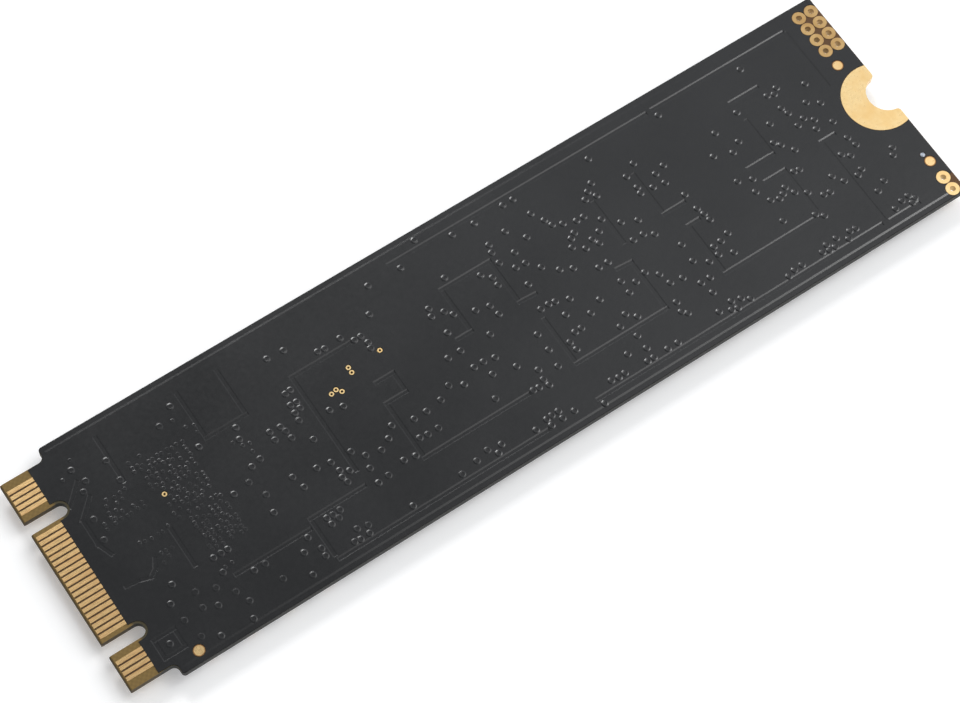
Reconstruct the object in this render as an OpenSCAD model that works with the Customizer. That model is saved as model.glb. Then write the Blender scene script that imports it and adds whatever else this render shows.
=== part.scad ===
// Gumstick solid state drive: a narrow circuit board card with an edge connector
// at one end and a half-round screw notch at the other. Its chips are all on one
// side. The bare side faces up (+Z), and the card lies on its flash packages.
// X runs from the connector to the screw end. The origin is the middle of the
// card, on the surface that it rests on. Sizes are in millimetres.

/* [Card] */
// Length of the card, from the connector tip to the screw end
card_l = 80; // [42:0.5:110]
// Width of the card
card_w = 22; // [21.2:0.1:24]
// Thickness of the finished card, coatings included
card_t = 0.8; // [0.6:0.05:1.2]
// Thickness of the solder mask coating on each side
mask_t = 0.05; // [0.04:0.005:0.08]
// Distance that the mask stays back from every routed edge
mask_inset = 0.05; // [0.05:0.05:0.3]
// Radius of the outer corners
corner_r = 0.3; // [0.1:0.05:0.5]

/* [Edge connector] */
// Width of the connector tongue
tongue_w = 19.85; // [19.7:0.05:20]
// Length of the tongue, from the tip to the shoulders
tongue_l = 4; // [3.8:0.1:5]
// Radius of the fillet between the tongue and each shoulder
shoulder_r = 0.5; // [0.2:0.05:0.6]
// Length of the bevel along the tip
bevel_l = 0.15; // [0.1:0.01:0.2]
// Depth of the bevel on each side
bevel_t = 0.1; // [0.05:0.01:0.15]
// Pitch of the contacts on one side
contact_pitch = 0.5; // [0.48:0.01:0.5]
// Width of one contact
contact_w = 0.35; // [0.25:0.01:0.4]
// Distance from the tip to the near end of the contacts
contact_start = 0.2; // [0.2:0.05:0.5]
// Distance from the tip to the edge of the solder mask
contact_end = 2.5; // [2.2:0.1:2.8]
// Thickness of the plated copper
copper_t = 0.035; // [0.02:0.005:0.04]
// Width of both key notches
key_w = 1.2; // [1:0.05:1.25]
// Depth of both key notches
key_l = 3.5; // [3.2:0.1:3.6]
// Bare strip between a key notch's round end and the solder mask
key_margin = 0.2; // [0.1:0.02:0.35]

/* [Screw end] */
// Radius of the half-round screw notch, plating included
notch_r = 1.75; // [1.5:0.05:2]
// Radius of the two corners at the mouth of the screw notch
mouth_r = 0.35; // [0.1:0.05:0.5]
// Radius of the gold pad on the bare side
bare_pad_r = 3.2; // [2.8:0.1:3.6]
// Distance from the screw end to the middle of the bare side's gold pad
bare_pad_in = 0.85; // [0:0.05:0.9]
// Radius of the gold pad on the component side, round the notch
chip_pad_r = 2.75; // [2.3:0.05:3]

/* [Eyelets and test pads] */
// Pitch of the plated holes
hole_pitch = 1.27; // [1.25:0.01:1.4]
// Diameter of the plated holes
hole_d = 0.5; // [0.3:0.05:0.7]
// Diameter of the gold ring round each plated hole
ring_d = 1.2; // [1:0.05:1.22]
// Distance from the screw end to the outer row of header holes
header_in = 0.65; // [0.62:0.01:0.7]
// Distance from the long edge to the first header hole
header_side = 1.19; // [0.9:0.05:1.4]
// Diameter of the round test pads
test_pad_d = 0.95; // [0.7:0.05:1.1]
// Diameter of the ring round a via that the mask leaves open
via_ring_d = 0.42; // [0.36:0.01:0.44]
// Drilled diameter of the open vias
via_d = 0.2; // [0.15:0.01:0.24]

/* [Flash packages] */
// Size of a flash package along the card
flash_l = 14; // [12:0.5:16]
// Size of a flash package across the card
flash_w = 18; // [14:0.5:19]
// Least gap between two flash packages
flash_gap = 0.3; // [0.2:0.05:1]
// Thickness of a flash package
flash_t = 0.95; // [0.9:0.05:1.2]
// Height of the solder balls under the packages
ball_h = 0.25; // [0.2:0.01:0.35]
// Pitch of the balls under a flash package
flash_pitch = 1; // [0.8:0.05:1.2]
// Distance from the tip to the first flash package
flash_start = 19.6; // [18:0.1:22]
// Distance from the screw end to the last flash package
flash_end = 3.2; // [3.1:0.1:3.3]

/* [Controller] */
// Side of the square controller package
ctl_w = 9; // [8:0.1:10]
// Thickness of the controller package
ctl_t = 0.85; // [0.7:0.05:0.9]
// Pitch of the balls under the controller
ctl_pitch = 0.65; // [0.5:0.05:0.65]

/* [Small parts] */
// Length of the concave solder fillets at the ends of small parts
fillet_l = 0.2; // [0.1:0.01:0.24]
// Width of the mask opening left round each soldered land
land_gap = 0.05; // [0.03:0.01:0.08]
// Side of the square power regulators
reg_w = 3; // [2.5:0.1:3]
// Thickness of the power regulators
reg_t = 0.75; // [0.6:0.05:0.9]
// Length of the crystal
crystal_l = 3.2; // [2.5:0.1:3.2]
// Width of the crystal
crystal_w = 2.5; // [2:0.1:2.5]
// Height of the crystal
crystal_t = 0.7; // [0.6:0.05:0.9]

/* [Hidden] */
$fn = 48;

// Flash packages: as many as there is room for between flash_start and
// flash_end, evenly spread
flash_room = card_l - flash_start - flash_end;
flash_n = floor((flash_room + flash_gap) / (flash_l + flash_gap));
flash_step = flash_n > 1 ? (flash_room - flash_l) / (flash_n - 1) : 0;
function flash_x(k) = tip_x + flash_start + flash_l / 2 + k * flash_step;

// Heights: the flash packages rest on z = 0, and the chips hang from chip_z.
core_t = card_t - 2 * mask_t;
chip_z = flash_t + ball_h;
core_z = chip_z + mask_t;
bare_core_z = core_z + core_t;
tip_x = -card_l / 2;
end_x = card_l / 2;

// Contacts: 75 places at half the contact pitch, as many as the tongue has room
// for, the odd ones on the component side. Each key notch takes the place of
// some of them, in the middle of its run.
place_pitch = contact_pitch / 2;
tongue_margin = 0.4;
last_place = 2 * floor((tongue_w / 2 - tongue_margin) / place_pitch) - 1;
key_b = [12, 19];
key_m = [59, 66];
function place_y(n) = ((last_place + 1) / 2 - n) * place_pitch;
function key_y(key) = place_y((key[0] + key[1]) / 2);
function in_key(n, key) = n >= key[0] && n <= key[1];
function places(first) =
    [for (n = [first : 2 : last_place]) if (!in_key(n, key_b) && !in_key(n, key_m)) n];

// Plated holes and pads, as [x, y]
plate_t = copper_t;
header_spots = [
    for (row = [0 : 1]) for (i = [0 : 3])
        [end_x - header_in - row * hole_pitch, card_w / 2 - header_side - i * hole_pitch]
];
probe_in = 0.95;
probe_side = 0.68;
probe_spots = [
    for (i = [0 : 1]) [end_x - probe_in, -card_w / 2 + probe_side + i * hole_pitch]
];
pad_by_header = [header_spots[7][0], (header_spots[7][1] - ring_d / 2 + bare_pad_r) / 2];
pad_by_probes = probe_spots[1] + [0, 1.8];
pad_by_tongue = [tip_x + tongue_l + 2, -card_w / 2 + 0.95];
test_spots = [pad_by_header, pad_by_probes, pad_by_tongue];
tinned_spot = pad_by_probes + [-0.16, 0.82];
tinned_d = 0.4;
tinned_rise = 0.03;
open_via_spots = [
    for (p = [[10.4, 2.3], [25.9, 2.3], [26.4, 2.42], [26.72, 2.04],
              [28.26, 3.5], [28.26, 3], [31.2, 3.4]])
        [tip_x + p[0], p[1]]
];

// Ball grids. The least distance from a flash package's edge to the middle of a
// ball is given along the card and across it. Its middle has no balls.
flash_margin = [1.6, 0.6];
flash_cols = 1 + 2 * floor((flash_l / 2 - flash_margin[0]) / flash_pitch);
flash_rows = 1 + 2 * floor((flash_w / 2 - flash_margin[1]) / flash_pitch);
flash_void = [5, 7];
ctl_rows = 12;

// Chip sizes, as [length, width, height, terminal length]
chip_0402 = [1, 0.5, 0.5, 0.25];
resistor_0402 = [1, 0.5, 0.35, 0.25];
chip_0603 = [1.6, 0.8, 0.8, 0.35];
chip_0805 = [2, 1.25, 1, 0.45];
coil = [2.5, 2, 1, 0.55];
cap_lip = 0.02;
// Length of a small chip with the solder at its ends
function soldered(s) = s[0] + 2 * fillet_l;

// Power regulator leads: four on each side, sunk flush into the body
lead_pitch = 0.5;
lead_w = 0.25;
lead_l = 0.4;
lead_h = 0.2;
// Voltage detector: a small body with gull-wing leads, three and two
detector = [2.9, 1.6, 1];
detector_lift = 0.1;
detector_draft = 0.12;
wing_w = 0.4;
wing_t = 0.15;
wing_reach = 1.4;
wing_foot = 0.4;
detector_leads = [[-0.95, 1], [0, 1], [0.95, 1], [-0.95, -1], [0.95, -1]];

// Middle of size n, where sizes lie between low and high with equal gaps all round
function sum_of(sizes, n) = n > 0 ? sizes[n - 1] + sum_of(sizes, n - 1) : 0;
function spread(low, high, sizes, n) =
    low + sum_of(sizes, n) + sizes[n] / 2
    + (n + 1) * (high - low - sum_of(sizes, len(sizes))) / (len(sizes) + 1);
function alike(size, count) = [for (i = [1 : count]) size];

// The small parts and the controller fill the field between the connector and
// the first flash package. Its rows run from the -Y edge of the card to the +Y
// edge, and its columns from the connector on.
field_in = 0.5;
field_low = tip_x + tongue_l + field_in;
field_high = tip_x + flash_start;
reg_span = reg_w + 2 * fillet_l;
detector_span = 2 * (wing_reach + wing_t + land_gap);
row_sizes = [
    chip_0805[1], reg_span, resistor_0402[1], chip_0402[1], ctl_w, chip_0402[1], detector_span
];
function row_y(n) = spread(-card_w / 2, card_w / 2, row_sizes, n);
column_sizes = [soldered(chip_0402), chip_0402[1], ctl_w, chip_0402[1]];
function column_x(n) = spread(field_low, field_high, column_sizes, n);
power_sizes = [coil[1], reg_span, coil[1], reg_span];
function power_x(n) = spread(field_low, field_high, power_sizes, n);
top_sizes = [
    chip_0603[1], chip_0402[1], crystal_l, chip_0402[1], detector[0], resistor_0402[1]
];
function top_x(n) = spread(field_low, field_high, top_sizes, n);
function in_field(size, count, n) = spread(field_low, field_high, alike(size, count), n);
ctl_at = [column_x(2), row_y(4)];

// Places of the small parts, as [x, y, turn]
strip_y = (card_w + flash_w) / 4;
flash_cap_n = 4;
flash_cap_spots = [
    for (k = [0 : flash_n - 1]) for (s = [-1, 1]) for (i = [0 : flash_cap_n - 1])
        [
            flash_x(k) + spread(-flash_l / 2, flash_l / 2, alike(soldered(chip_0402), flash_cap_n), i),
            s * strip_y, 0
        ]
];
ctl_cap_n = [5, 4];
function by_controller(count, n) =
    spread(-ctl_w / 2, ctl_w / 2, alike(soldered(chip_0402), count), n);
ctl_cap_spots = concat(
    [for (y = [row_y(3), row_y(5)]) for (i = [0 : ctl_cap_n[0] - 1])
        [ctl_at[0] + by_controller(ctl_cap_n[0], i), y, 0]],
    [for (x = [column_x(1), column_x(3)]) for (i = [0 : ctl_cap_n[1] - 1])
        [x, ctl_at[1] + by_controller(ctl_cap_n[1], i), 90]]
);
crystal_at = [top_x(2), row_y(6), 0];
crystal_cap_spots = [for (n = [1, 3]) [top_x(n), row_y(6), 90]];
coupling_spots = [for (i = [-1.5 : 1.5]) [column_x(0), place_y(45) + i, 0]];
coil_spots = [for (n = [0, 2]) [power_x(n), row_y(1), 90]];
regulator_spots = [for (n = [1, 3]) [power_x(n), row_y(1), 0]];
bulk_n = 4;
bulk_spots = concat(
    [for (i = [0 : bulk_n - 1]) [in_field(soldered(chip_0805), bulk_n, i), row_y(0), 0]],
    [[column_x(0), place_y(16), 90]]
);
resistor_n = 7;
resistor_spots = concat(
    [for (i = [0 : resistor_n - 1])
        [in_field(soldered(resistor_0402), resistor_n, i), row_y(2), 0]],
    [[top_x(5), row_y(6), 90]]
);
fuse_spots = [[top_x(0), row_y(6), 90]];
detector_at = [top_x(4), row_y(6), 0];
capacitor_0402_spots = concat(flash_cap_spots, ctl_cap_spots, crystal_cap_spots, coupling_spots);

// Crystal: a ceramic base, and a metal lid set back from its edge
lid_set = 0.12;
crystal_r = 0.2;
crystal_pad = [1.1, 0.9];

// Flat shapes

module rounded_rect(l, w, r) {
    square([l - 2 * r, w], center = true);
    square([l, w - 2 * r], center = true);
    for (x = [-1, 1])
        for (y = [-1, 1])
            translate([x * (l / 2 - r), y * (w / 2 - r)]) circle(r);
}

// A half-round notch at the screw end, with a rounded mouth. The mouth's arcs
// cross the notch's by a hair where they would only touch.
module screw_notch(r, mouth) {
    hair = 0.01;
    reach = sqrt(pow(r + mouth - hair, 2) - pow(mouth, 2));
    translate([end_x, 0]) {
        circle(r);
        for (s = [-1, 1])
            difference() {
                polygon([[0, 0], [0, s * reach], [-mouth, s * reach]]);
                translate([-mouth, s * reach]) circle(mouth);
            }
    }
}

// A key notch of the given half width, open at the tip
module key_notch(y, half_w) {
    axis_x = tip_x + key_l - key_w / 2;
    translate([tip_x - 1, y - half_w]) square([axis_x - tip_x + 1, 2 * half_w]);
    translate([axis_x, y]) circle(half_w);
}

// The outline of the card without its screw notch, drawn in by e all round
module card_outline(e) {
    body_l = card_l - tongue_l - 2 * e;
    step_x = tip_x + tongue_l + e;
    fillet = shoulder_r + e;
    half_tongue = tongue_w / 2 - e;
    difference() {
        union() {
            translate([step_x + body_l / 2, 0])
                rounded_rect(body_l, card_w - 2 * e, corner_r - e);
            translate([tip_x + e, -half_tongue])
                square([tongue_l + corner_r, 2 * half_tongue]);
            for (s = [-1, 1])
                difference() {
                    translate([step_x - fillet, s > 0 ? half_tongue : -half_tongue - fillet])
                        square(fillet);
                    translate([step_x - fillet, s * (half_tongue + fillet)]) circle(fillet);
                }
        }
        for (key = [key_b, key_m]) key_notch(key_y(key), key_w / 2 + e);
    }
}

module rings(spots, d) {
    for (p = spots) translate(p) circle(d = d);
}

// Everything that the mask leaves bare on both sides
module common_openings() {
    translate([tip_x - 1, -card_w / 2 - 1]) square([contact_end + 1, card_w + 2]);
    for (key = [key_b, key_m]) key_notch(key_y(key), key_w / 2 + key_margin);
    rings(concat(header_spots, probe_spots), ring_d + 2 * land_gap);
    bare_between(header_spots[7], header_spots[0]);
    bare_between([probe_spots[0][0], -card_w / 2], probe_spots[1]);
}

// The bare laminate between plated holes, out to the screw end
module bare_between(low, high) {
    translate(low) square([end_x - low[0], high[1] - low[1]]);
}

module bare_side_openings() {
    common_openings();
    translate([end_x - bare_pad_in, 0]) circle(bare_pad_r + land_gap);
    rings(test_spots, test_pad_d + 2 * land_gap);
    rings(open_via_spots, via_ring_d + 2 * land_gap);
    rings([tinned_spot], tinned_d + 2 * land_gap);
}

module component_side_openings() {
    common_openings();
    translate([end_x, 0]) circle(chip_pad_r + land_gap);
    all_lands(land_gap);
}

// Placing: a part that hangs from the component side, its own +Z pointing down
module hang(p) {
    translate([p[0], p[1], chip_z]) mirror([0, 0, 1]) rotate(p[2]) children();
}

module box(l, w, h) {
    translate([-l / 2, -w / 2, 0]) cube([l, w, h]);
}

// Small two-ended chips

module chip_body(s) {
    translate([0, 0, cap_lip]) box(s[0] - 2 * s[3], s[1] - 2 * cap_lip, s[2] - 2 * cap_lip);
}

module chip_ends(s) {
    for (e = [-1, 1]) translate([e * (s[0] - s[3]) / 2, 0, 0]) box(s[3], s[1], s[2]);
}

// A concave fillet of solder against a wall at x = 0, reaching out along +X
module fillet(w) {
    translate([0, w / 2, 0]) rotate([90, 0, 0]) linear_extrude(w)
        difference() {
            square(fillet_l);
            translate([fillet_l, fillet_l]) circle(fillet_l);
        }
}

module chip_fillets(s) {
    for (e = [0, 180]) rotate(e) translate([s[0] / 2, 0, 0]) fillet(s[1]);
}

module chip_lands(s, grow) {
    for (e = [-1, 1])
        translate([e * (s[0] - s[3] + fillet_l) / 2, 0])
            square([s[3] + fillet_l + 2 * grow, s[1] + 2 * grow], center = true);
}

module chips_at(spots) {
    for (p = spots) hang(p) children();
}

// Leads of a power regulator, at the four sides
module at_regulator_leads() {
    for (side = [0 : 90 : 270])
        for (i = [-1.5 : 1.5])
            rotate(side) translate([reg_w / 2, i * lead_pitch, 0]) children();
}

module regulator_lead() {
    translate([-lead_l, -lead_w / 2, 0]) cube([lead_l, lead_w, lead_h]);
}

module at_detector_leads() {
    for (q = detector_leads)
        translate([q[0], 0, 0]) rotate(q[1] > 0 ? 90 : -90) children();
}

module detector_lead() {
    root = detector[1] / 2;
    mid = detector_lift + detector[2] / 2;
    bend = wing_reach - wing_foot;
    translate([0, wing_w / 2, 0]) rotate([90, 0, 0]) linear_extrude(wing_w)
        polygon([
            [root, mid], [root, mid - wing_t], [bend - wing_t, mid - wing_t],
            [bend - wing_t, 0], [wing_reach, 0], [wing_reach, wing_t],
            [bend, wing_t], [bend, mid]
        ]);
}

module at_crystal_pads() {
    for (x = [-1, 1])
        for (y = [-1, 1])
            translate([x * (crystal_l - crystal_pad[0]) / 2, y * (crystal_w - crystal_pad[1]) / 2])
                children();
}

// The outline of every soldered land on the component side, seen from above
module all_lands(grow) {
    for (p = capacitor_0402_spots) land_at(p) chip_lands(chip_0402, grow);
    for (p = resistor_spots) land_at(p) chip_lands(resistor_0402, grow);
    for (p = bulk_spots) land_at(p) chip_lands(chip_0805, grow);
    for (p = fuse_spots) land_at(p) chip_lands(chip_0603, grow);
    for (p = coil_spots) land_at(p) chip_lands(coil, grow);
    for (p = regulator_spots) land_at(p) at_regulator_leads()
        translate([(fillet_l - lead_l) / 2, 0])
            square([lead_l + fillet_l + 2 * grow, lead_w + 2 * grow], center = true);
    land_at(detector_at) at_detector_leads()
        translate([wing_reach - wing_foot / 2, 0])
            square([wing_foot + 2 * wing_t + 2 * grow, wing_w + 2 * grow], center = true);
    land_at(crystal_at) at_crystal_pads()
        square([crystal_pad[0] + 2 * grow, crystal_pad[1] + 2 * grow], center = true);
}

module land_at(p) {
    translate([p[0], p[1]]) rotate(p[2]) children();
}

// Card

module bevel_cut() {
    for (s = [0, 1])
        translate([0, 0, core_z + core_t / 2]) mirror([0, 0, s])
            rotate([90, 0, 0]) linear_extrude(card_w, center = true)
                polygon([
                    [tip_x - 1, core_t / 2 - bevel_t], [tip_x, core_t / 2 - bevel_t],
                    [tip_x + bevel_l, core_t / 2], [tip_x + bevel_l, core_t], [tip_x - 1, core_t]
                ]);
}

module circuit_board() {
    color([0.46, 0.42, 0.28])
        difference() {
            translate([0, 0, core_z]) linear_extrude(core_t)
                difference() {
                    card_outline(0);
                    screw_notch(notch_r + plate_t, mouth_r);
                    rings(concat(header_spots, probe_spots), hole_d + 2 * plate_t);
                    rings(open_via_spots, via_d + 2 * plate_t);
                }
            bevel_cut();
        }
}

module bare_side_mask() {
    color([0.18, 0.18, 0.19])
        translate([0, 0, bare_core_z]) linear_extrude(mask_t)
            difference() {
                card_outline(mask_inset);
                screw_notch(notch_r + mask_inset, mouth_r);
                bare_side_openings();
            }
}

module component_side_mask() {
    color([0.18, 0.18, 0.19])
        translate([0, 0, chip_z]) linear_extrude(mask_t)
            difference() {
                card_outline(mask_inset);
                screw_notch(notch_r + mask_inset, mouth_r);
                component_side_openings();
            }
}

module contacts(first, z) {
    for (n = places(first))
        translate([tip_x + contact_start, place_y(n) - contact_w / 2, z])
            cube([contact_end - contact_start, contact_w, copper_t]);
}

module bare_side_contacts() {
    color([0.85, 0.66, 0.36]) contacts(2, bare_core_z);
}

module component_side_contacts() {
    color([0.85, 0.66, 0.36]) contacts(1, core_z - copper_t);
}

module screw_pad(r, inward) {
    difference() {
        intersection() {
            translate([end_x - inward, 0]) circle(r);
            card_outline(0);
        }
        screw_notch(notch_r, mouth_r);
    }
}

// Two gold pads and the plated wall of the notch between them
module screw_notch_plating() {
    lining_end = 0.1;
    color([0.93, 0.8, 0.5]) {
        translate([0, 0, bare_core_z]) linear_extrude(copper_t) screw_pad(bare_pad_r, bare_pad_in);
        translate([0, 0, core_z - copper_t]) linear_extrude(copper_t) screw_pad(chip_pad_r, 0);
        translate([0, 0, core_z - copper_t]) linear_extrude(core_t + 2 * copper_t)
            intersection() {
                difference() {
                    screw_notch(notch_r + plate_t, mouth_r);
                    screw_notch(notch_r, mouth_r);
                }
                translate([end_x - lining_end - card_w, -card_w / 2]) square(card_w);
            }
    }
}

// A plated hole with a ring on the bare side, and on the other side if both
module eyelet(p, ring, hole, both) {
    low = both ? core_z - copper_t : core_z;
    translate([p[0], p[1], 0])
        difference() {
            union() {
                translate([0, 0, bare_core_z]) cylinder(d = ring, h = copper_t);
                translate([0, 0, low])
                    cylinder(d = hole + 2 * plate_t, h = bare_core_z + copper_t - low);
                if (both) translate([0, 0, low]) cylinder(d = ring, h = copper_t);
            }
            translate([0, 0, low - 1]) cylinder(d = hole, h = card_t + 2);
        }
}

module header_eyelets() {
    color([0.93, 0.78, 0.5]) for (p = header_spots) eyelet(p, ring_d, hole_d, true);
}

module probe_eyelets() {
    color([0.93, 0.78, 0.5]) for (p = probe_spots) eyelet(p, ring_d, hole_d, true);
}

module test_pads() {
    color([0.93, 0.78, 0.5])
        translate([0, 0, bare_core_z]) linear_extrude(copper_t) rings(test_spots, test_pad_d);
}

module open_vias() {
    color([0.93, 0.72, 0.38]) for (p = open_via_spots) eyelet(p, via_ring_d, via_d, false);
}

// A via filled with solder, whose top swells a little above the mask
module tinned_via() {
    dome_r = (pow(tinned_d / 2, 2) + pow(tinned_rise, 2)) / (2 * tinned_rise);
    color([0.75, 0.75, 0.77])
        translate([tinned_spot[0], tinned_spot[1], bare_core_z]) rotate_extrude()
            intersection() {
                square([tinned_d / 2, mask_t + tinned_rise]);
                translate([0, mask_t + tinned_rise - dome_r]) circle(dome_r, $fn = 240);
            }
}

module solder_lands() {
    color([0.78, 0.78, 0.78]) translate([0, 0, chip_z]) linear_extrude(mask_t) all_lands(0);
}

module solder_fillets() {
    color([0.8, 0.8, 0.81]) {
        chips_at(capacitor_0402_spots) chip_fillets(chip_0402);
        chips_at(resistor_spots) chip_fillets(resistor_0402);
        chips_at(bulk_spots) chip_fillets(chip_0805);
        chips_at(fuse_spots) chip_fillets(chip_0603);
        chips_at(coil_spots) chip_fillets(coil);
        chips_at(regulator_spots) at_regulator_leads() fillet(lead_w);
    }
}

// Ball grid packages

// A solder ball, melted on to its two lands
module ball(r) {
    rotate_extrude()
        intersection() {
            square([r, ball_h]);
            translate([0, ball_h / 2]) circle(r);
        }
}

module ball_grid(cols, rows, pitch, r) {
    for (i = [0 : cols - 1])
        for (j = [0 : rows - 1])
            if (!in_void(i, j, cols, rows))
                translate([(i - (cols - 1) / 2) * pitch, (j - (rows - 1) / 2) * pitch, 0])
                    ball(r);
}

// The middle of a flash package's grid has no balls
function in_void(i, j, cols, rows) =
    cols == flash_cols
    && abs(i - (cols - 1) / 2) <= (flash_void[0] - 1) / 2
    && abs(j - (rows - 1) / 2) <= (flash_void[1] - 1) / 2;

module package(l, w, t, mark_in) {
    mark_d = 0.9;
    mark_t = 0.03;
    difference() {
        translate([0, 0, ball_h]) box(l, w, t);
        translate([mark_in - l / 2, mark_in - w / 2, ball_h + t - mark_t])
            cylinder(d = mark_d, h = 1);
    }
}

module flash_package(k) {
    color([0.12, 0.12, 0.13])
        hang([flash_x(k), 0, 0]) package(flash_l, flash_w, flash_t, 1.1);
}

module flash_balls(k) {
    color([0.78, 0.78, 0.8])
        hang([flash_x(k), 0, 0]) ball_grid(flash_cols, flash_rows, flash_pitch, 0.22);
}

module controller() {
    color([0.14, 0.14, 0.15])
        hang([ctl_at[0], ctl_at[1], 0]) package(ctl_w, ctl_w, ctl_t, 0.9);
}

module controller_balls() {
    color([0.78, 0.78, 0.8])
        hang([ctl_at[0], ctl_at[1], 0]) ball_grid(ctl_rows, ctl_rows, ctl_pitch, 0.16);
}

// Small parts

module flash_capacitors() {
    color([0.62, 0.5, 0.38]) chips_at(flash_cap_spots) chip_body(chip_0402);
}

module controller_capacitors() {
    color([0.62, 0.5, 0.38])
        chips_at(concat(ctl_cap_spots, crystal_cap_spots)) chip_body(chip_0402);
}

module coupling_capacitors() {
    color([0.68, 0.58, 0.46]) chips_at(coupling_spots) chip_body(chip_0402);
}

module bulk_capacitors() {
    color([0.56, 0.44, 0.32]) chips_at(bulk_spots) chip_body(chip_0805);
}

module chip_terminals() {
    color([0.82, 0.82, 0.82]) {
        chips_at(capacitor_0402_spots) chip_ends(chip_0402);
        chips_at(bulk_spots) chip_ends(chip_0805);
    }
}

module resistors() {
    color([0.1, 0.1, 0.11]) chips_at(resistor_spots) chip_body(resistor_0402);
}

module resistor_terminals() {
    color([0.82, 0.82, 0.82]) chips_at(resistor_spots) chip_ends(resistor_0402);
}

module input_fuse() {
    color([0.85, 0.85, 0.8]) chips_at(fuse_spots) chip_body(chip_0603);
}

module fuse_terminals() {
    color([0.82, 0.82, 0.82]) chips_at(fuse_spots) chip_ends(chip_0603);
}

module regulators() {
    color([0.12, 0.12, 0.13])
        chips_at(regulator_spots)
            difference() {
                box(reg_w, reg_w, reg_t);
                at_regulator_leads() regulator_lead();
            }
}

module regulator_leads() {
    color([0.82, 0.82, 0.82]) chips_at(regulator_spots) at_regulator_leads() regulator_lead();
}

module inductors() {
    color([0.25, 0.25, 0.27]) chips_at(coil_spots) chip_body(coil);
}

module inductor_terminals() {
    color([0.82, 0.82, 0.82]) chips_at(coil_spots) chip_ends(coil);
}

module crystal_base() {
    color([0.75, 0.68, 0.55])
        hang(crystal_at) linear_extrude(crystal_t * 0.6) rounded_rect(crystal_l, crystal_w, crystal_r);
}

module crystal_lid() {
    color([0.8, 0.8, 0.8])
        hang(crystal_at) translate([0, 0, crystal_t * 0.6]) linear_extrude(crystal_t * 0.4)
            rounded_rect(crystal_l - 2 * lid_set, crystal_w - 2 * lid_set, crystal_r);
}

// A moulded body of that length and width, which tapers from the band where its
// leads come out towards both faces
module moulded(l, w, h) {
    intersection() {
        drafted(l, w, h);
        rotate(90) drafted(w, l, h);
    }
}

module drafted(l, w, h) {
    d = detector_draft;
    rotate([90, 0, 0]) linear_extrude(w, center = true)
        polygon([
            [d - l / 2, 0], [l / 2 - d, 0], [l / 2, h / 2 - wing_t], [l / 2, h / 2],
            [l / 2 - d, h], [d - l / 2, h], [-l / 2, h / 2], [-l / 2, h / 2 - wing_t]
        ]);
}

module voltage_detector() {
    color([0.12, 0.12, 0.13])
        hang(detector_at) translate([0, 0, detector_lift])
            moulded(detector[0], detector[1], detector[2]);
}

module voltage_detector_leads() {
    color([0.82, 0.82, 0.82]) hang(detector_at) at_detector_leads() detector_lead();
}

circuit_board();
bare_side_mask();
component_side_mask();
bare_side_contacts();
component_side_contacts();
screw_notch_plating();
header_eyelets();
probe_eyelets();
test_pads();
open_vias();
tinned_via();
solder_lands();
solder_fillets();
controller();
controller_balls();
for (k = [1 : flash_n])
    flash_package(k - 1);
for (k = [1 : flash_n])
    flash_balls(k - 1);
flash_capacitors();
controller_capacitors();
coupling_capacitors();
bulk_capacitors();
chip_terminals();
resistors();
resistor_terminals();
input_fuse();
fuse_terminals();
regulators();
regulator_leads();
inductors();
inductor_terminals();
crystal_base();
crystal_lid();
voltage_detector();
voltage_detector_leads();
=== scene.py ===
"""Looks of a gumstick solid state drive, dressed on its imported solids.

The card lies on its flash packages with its bare side up. Sizes in this file
are in millimetres, measured along the card from the connector tip and across
it from its middle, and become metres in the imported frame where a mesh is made.
"""

import logging
import math
import random
from dataclasses import dataclass, replace
from enum import Enum
from typing import Any, Iterable, Mapping, Sequence

import bmesh
import bpy
from mathutils import Matrix, Vector


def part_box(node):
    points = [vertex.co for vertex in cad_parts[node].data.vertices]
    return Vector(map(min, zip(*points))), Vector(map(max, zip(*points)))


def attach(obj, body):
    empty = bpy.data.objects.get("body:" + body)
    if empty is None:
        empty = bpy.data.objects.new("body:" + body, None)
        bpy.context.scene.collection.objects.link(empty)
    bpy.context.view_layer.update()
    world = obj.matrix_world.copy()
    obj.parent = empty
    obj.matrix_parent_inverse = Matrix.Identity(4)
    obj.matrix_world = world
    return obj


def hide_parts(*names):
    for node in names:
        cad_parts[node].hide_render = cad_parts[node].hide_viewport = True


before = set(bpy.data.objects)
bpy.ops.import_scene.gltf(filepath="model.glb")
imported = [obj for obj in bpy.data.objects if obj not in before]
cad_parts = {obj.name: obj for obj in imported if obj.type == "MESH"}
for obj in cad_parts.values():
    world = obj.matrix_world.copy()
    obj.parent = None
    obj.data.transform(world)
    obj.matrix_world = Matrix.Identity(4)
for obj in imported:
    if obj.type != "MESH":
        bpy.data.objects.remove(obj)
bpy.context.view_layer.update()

LOG = logging.getLogger("drive")
MM = 0.001
SEED = 20
ROOT = "root"

Point = tuple[float, float]
Way = tuple[float, float, float]
Colour = tuple[float, float, float]


def grey(level: float) -> Colour:
    """Returns a neutral colour of that level."""
    return (level, level, level)


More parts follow.
